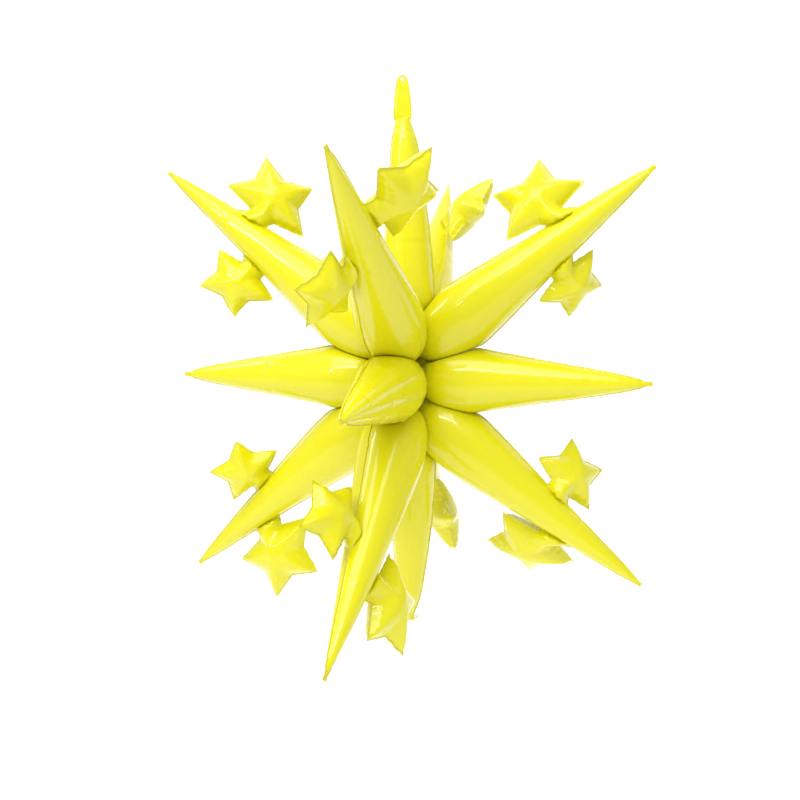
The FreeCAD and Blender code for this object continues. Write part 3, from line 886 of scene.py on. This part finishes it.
def foil_material():
    """Glossy lemon film: soft tension ripples, fine crinkle, uneven gloss, deeper welded seams."""
    material, shader, tree = new_material("lemon_foil")
    link = tree.links.new
    film = node(tree, "ShaderNodeAttribute", attribute_name="film")
    inset = node(tree, "ShaderNodeAttribute", attribute_name="inset")

    stretch = node(tree, "ShaderNodeMapping")
    stretch.inputs["Scale"].default_value = (70, 9, 3)
    link(film.outputs["Vector"], stretch.inputs["Vector"])
    ripple = node(tree, "ShaderNodeTexNoise", Scale=1.0, Detail=2.5, Roughness=0.45)
    link(stretch.outputs["Vector"], ripple.inputs["Vector"])

    even = node(tree, "ShaderNodeMapping")
    even.inputs["Scale"].default_value = (1, 1, 0.3)
    link(film.outputs["Vector"], even.inputs["Vector"])
    crinkle = node(tree, "ShaderNodeTexNoise", Scale=95.0, Detail=5.0, Roughness=0.6, Distortion=0.6)
    link(even.outputs["Vector"], crinkle.inputs["Vector"])
    cloud = node(tree, "ShaderNodeTexNoise", Scale=22.0, Detail=3.0, Roughness=0.5)
    link(even.outputs["Vector"], cloud.inputs["Vector"])

    weld = node(tree, "ShaderNodeMapRange", From_Min=-0.0012, From_Max=0.0006, To_Min=1.0, To_Max=0.0)
    link(inset.outputs["Fac"], weld.inputs["Value"])
    press = node(tree, "ShaderNodeTexVoronoi", Scale=700.0)
    link(even.outputs["Vector"], press.inputs["Vector"])

    tone = node(tree, "ShaderNodeMix", data_type="RGBA")
    tone.inputs[6].default_value = (0.715, 0.668, 0.003, 1)
    tone.inputs[7].default_value = (0.685, 0.650, 0.006, 1)
    link(cloud.outputs["Fac"], tone.inputs[0])
    seam = node(tree, "ShaderNodeMix", data_type="RGBA")
    seam.inputs[7].default_value = (0.64, 0.585, 0.003, 1)
    link(weld.outputs["Result"], seam.inputs[0])
    link(tone.outputs[2], seam.inputs[6])
    link(seam.outputs[2], shader.inputs["Base Color"])

    gloss = node(tree, "ShaderNodeMapRange", From_Min=0.3, From_Max=0.7, To_Min=0.22, To_Max=0.34)
    link(cloud.outputs["Fac"], gloss.inputs["Value"])
    rough = node(tree, "ShaderNodeMath", operation="MULTIPLY_ADD")
    rough.inputs[1].default_value = 0.14
    link(weld.outputs["Result"], rough.inputs[0])
    link(gloss.outputs["Result"], rough.inputs[2])
    link(rough.outputs["Value"], shader.inputs["Roughness"])

    ripple_bump = node(tree, "ShaderNodeBump", Strength=0.35, Distance=0.0016)
    link(ripple.outputs["Fac"], ripple_bump.inputs["Height"])
    crinkle_bump = node(tree, "ShaderNodeBump", Strength=0.10, Distance=0.0006)
    link(crinkle.outputs["Fac"], crinkle_bump.inputs["Height"])
    link(ripple_bump.outputs["Normal"], crinkle_bump.inputs["Normal"])
    pressed_height = node(tree, "ShaderNodeMath", operation="MULTIPLY")
    link(press.outputs["Distance"], pressed_height.inputs[0])
    link(weld.outputs["Result"], pressed_height.inputs[1])
    weld_bump = node(tree, "ShaderNodeBump", Strength=0.5, Distance=0.0003)
    link(pressed_height.outputs["Value"], weld_bump.inputs["Height"])
    link(crinkle_bump.outputs["Normal"], weld_bump.inputs["Normal"])
    link(weld_bump.outputs["Normal"], shader.inputs["Normal"])

    shader.inputs["Specular IOR Level"].default_value = 0.22
    shader.inputs["Coat Weight"].default_value = 0.65
    shader.inputs["Coat Roughness"].default_value = 0.045
    shader.inputs["IOR"].default_value = 1.5
    return material


def plain_film_material(name, dark, light, roughness):
    """Film without a gloss coat, for the hidden tabs and valves: faint crinkle and cloudy colour."""
    material, shader, tree = new_material(name)
    link = tree.links.new
    place = node(tree, "ShaderNodeTexCoord")
    cloud = node(tree, "ShaderNodeTexNoise", Scale=160.0, Detail=4.0)
    link(place.outputs["Object"], cloud.inputs["Vector"])
    tone = node(tree, "ShaderNodeMix", data_type="RGBA")
    tone.inputs[6].default_value = dark
    tone.inputs[7].default_value = light
    link(cloud.outputs["Fac"], tone.inputs[0])
    link(tone.outputs[2], shader.inputs["Base Color"])
    gloss = node(tree, "ShaderNodeMapRange", To_Min=roughness - 0.08, To_Max=roughness + 0.08)
    link(cloud.outputs["Fac"], gloss.inputs["Value"])
    link(gloss.outputs["Result"], shader.inputs["Roughness"])
    bump = node(tree, "ShaderNodeBump", Strength=0.3, Distance=0.0004)
    link(cloud.outputs["Fac"], bump.inputs["Height"])
    link(bump.outputs["Normal"], shader.inputs["Normal"])
    return material


def cord_material():
    """Twisted pale cord: slanting strands, with painted shade darkening the valleys between them."""
    material, shader, tree = new_material("twisted_cord")
    link = tree.links.new
    place = node(tree, "ShaderNodeTexCoord")
    slant = node(tree, "ShaderNodeMapping")
    slant.inputs["Rotation"].default_value = (0.6, 0.5, 0)
    link(place.outputs["Object"], slant.inputs["Vector"])
    strand = node(tree, "ShaderNodeTexWave", Scale=420.0, Distortion=1.5, Detail=2.0)
    link(slant.outputs["Vector"], strand.inputs["Vector"])
    # Painted shade: the colour darkens into the valleys between the strands, where the bump sinks.
    tone = node(tree, "ShaderNodeMix", data_type="RGBA")
    tone.inputs[6].default_value = (0.42, 0.39, 0.30, 1)
    tone.inputs[7].default_value = (0.82, 0.78, 0.66, 1)
    link(strand.outputs["Fac"], tone.inputs[0])
    link(tone.outputs[2], shader.inputs["Base Color"])
    bump = node(tree, "ShaderNodeBump", Strength=0.6, Distance=0.0004)
    link(strand.outputs["Fac"], bump.inputs["Height"])
    link(bump.outputs["Normal"], shader.inputs["Normal"])
    shader.inputs["Roughness"].default_value = 0.85
    return material


# ---------------------------------------------------------------- stage

def stage():
    """A pale floor that curves up into a wall, and the lights."""
    scene = bpy.context.scene
    scene.view_settings.view_transform = "Standard"
    floor_level = cad_box[0][2] - FLOOR_DROP
    profile = [(-3.5, floor_level)]
    profile += [(1.6 + WALL_CURVE * math.sin(a), floor_level + WALL_CURVE * (1 - math.cos(a)))
                for a in np.linspace(0, math.pi / 2, 16)]
    profile += [(1.6 + WALL_CURVE, 4.5)]
    verts = [(side * BACKDROP_HALF_WIDTH, y, z) for y, z in profile for side in (-1, 1)]
    faces = [(2 * i, 2 * i + 1, 2 * i + 3, 2 * i + 2) for i in range(len(profile) - 1)]
    mesh = bpy.data.meshes.new("backdrop")
    mesh.from_pydata(verts, [], faces)
    mesh.polygons.foreach_set("use_smooth", [True] * len(faces))
    backdrop = bpy.data.objects.new("backdrop", mesh)
    scene.collection.objects.link(backdrop)
    paper, shader, _ = new_material("white_paper")
    shader.inputs["Base Color"].default_value = (0.8, 0.8, 0.8, 1)
    shader.inputs["Roughness"].default_value = 0.9
    shader.inputs["Emission Color"].default_value = (1, 1, 1, 1)
    shader.inputs["Emission Strength"].default_value = 0.45
    mesh.materials.append(paper)

    world = bpy.data.worlds.new("studio")
    world.use_nodes = True
    world.node_tree.nodes["Background"].inputs[0].default_value = (1, 1, 1, 1)
    world.node_tree.nodes["Background"].inputs[1].default_value = 0.55
    scene.world = world

    corner = Vector((-0.66, -2.16, 1.98))
    lamp("tube_left", Vector((-1.78, -2.22, 0.96)), corner, 0.13, 26.0)
    lamp("tube_right", corner, Vector((1.24, -1.9, 1.98)), 0.13, 26.0)
    lamp("side_window", Vector((-2.37, -0.57, 1.74)), Vector((-1.68, 0.66, 2.4)), 0.3, 9.0)
    lamp("softbox", Vector((-1.6, -1.3, 2.7)), Vector((1.4, -1.3, 2.7)), 2.0, 3.2)


def lamp(name, start, end, width, brightness):
    """A rectangular lamp between two points about the burst, facing it."""
    light = bpy.data.lights.new(name, "AREA")
    light.shape = "RECTANGLE"
    light.size = (end - start).length
    light.size_y = width
    light.energy = brightness * math.pi * light.size * width
    middle = (start + end) / 2
    x = (end - start).normalized()
    z = (middle - x * middle.dot(x)).normalized()
    turn = Matrix((x, z.cross(x), z)).transposed()
    holder = bpy.data.objects.new(name, light)
    holder.matrix_world = Matrix.Translation(burst + middle) @ turn.to_4x4()
    bpy.context.scene.collection.objects.link(holder)


def camera():
    """The camera, from the front and a little to the right and above."""
    azimuth, elevation, roll = (math.radians(a) for a in (CAMERA_AZIMUTH, CAMERA_ELEVATION, CAMERA_ROLL))
    toward = Vector((math.sin(azimuth) * math.cos(elevation), -math.cos(azimuth) * math.cos(elevation),
                     math.sin(elevation)))
    right = Vector((math.cos(azimuth), math.sin(azimuth), 0))
    up = toward.cross(right)
    rolled_right = right * math.cos(roll) + up * math.sin(roll)
    rolled_up = up * math.cos(roll) - right * math.sin(roll)
    data = bpy.data.cameras.new("view")
    data.lens = CAMERA_LENS
    data.sensor_width = 36
    data.shift_x, data.shift_y = CAMERA_SHIFT
    data.dof.use_dof = False
    holder = bpy.data.objects.new("view", data)
    turn = Matrix((rolled_right, rolled_up, toward)).transposed()
    holder.matrix_world = Matrix.Translation(burst + toward * CAMERA_DISTANCE) @ turn.to_4x4()
    bpy.context.scene.collection.objects.link(holder)
    bpy.context.scene.camera = holder


# ---------------------------------------------------------------- everything

layout = spike_layout()
layout_by_name = {s["name"]: s for s in layout}
foil = foil_material()
hidden_film = plain_film_material("tab_film", (0.70, 0.65, 0.012, 1), (0.75, 0.70, 0.02, 1), 0.35)
valve_film = plain_film_material("valve_film", (0.62, 0.57, 0.03, 1), (0.70, 0.66, 0.07, 1), 0.45)
cord_look = cord_material()

star_length = layout_by_name["upper_right"]["length"]
side_length = layout_by_name["right"]["length"]
pole_length = layout_by_name["top"]["length"]
envelopes = {
    ("star", 0): inflated("star", star_length, 3),
    ("star", 1): inflated("star", star_length, 8),
    ("side", 0): inflated("side", side_length, 5),
    ("pole", 0): inflated("pole", pole_length, 7),
}
for number, spike in enumerate(layout):
    variant = number % 2 if spike["kind"] == "star" else 0
    build_spike(spike, envelopes[(spike["kind"], variant)], flip=(number // 2) % 2 == 1, seed=40 + number)

end_tab("hang_tab_film", "hang_tab", "hang_tab_fold")
end_tab("bottom_end_tab_film", "bottom_end_tab", "bottom_tab_fold", fold=BOTTOM_FOLD)

for name, cad in frame["nodes"].items():
    if cad.hide_render:
        continue
    look = cord_look if name == "centre_cord" else valve_film if name.endswith("_valve") else hidden_film
    cad.data.materials.clear()
    cad.data.materials.append(look)

stage()
camera()
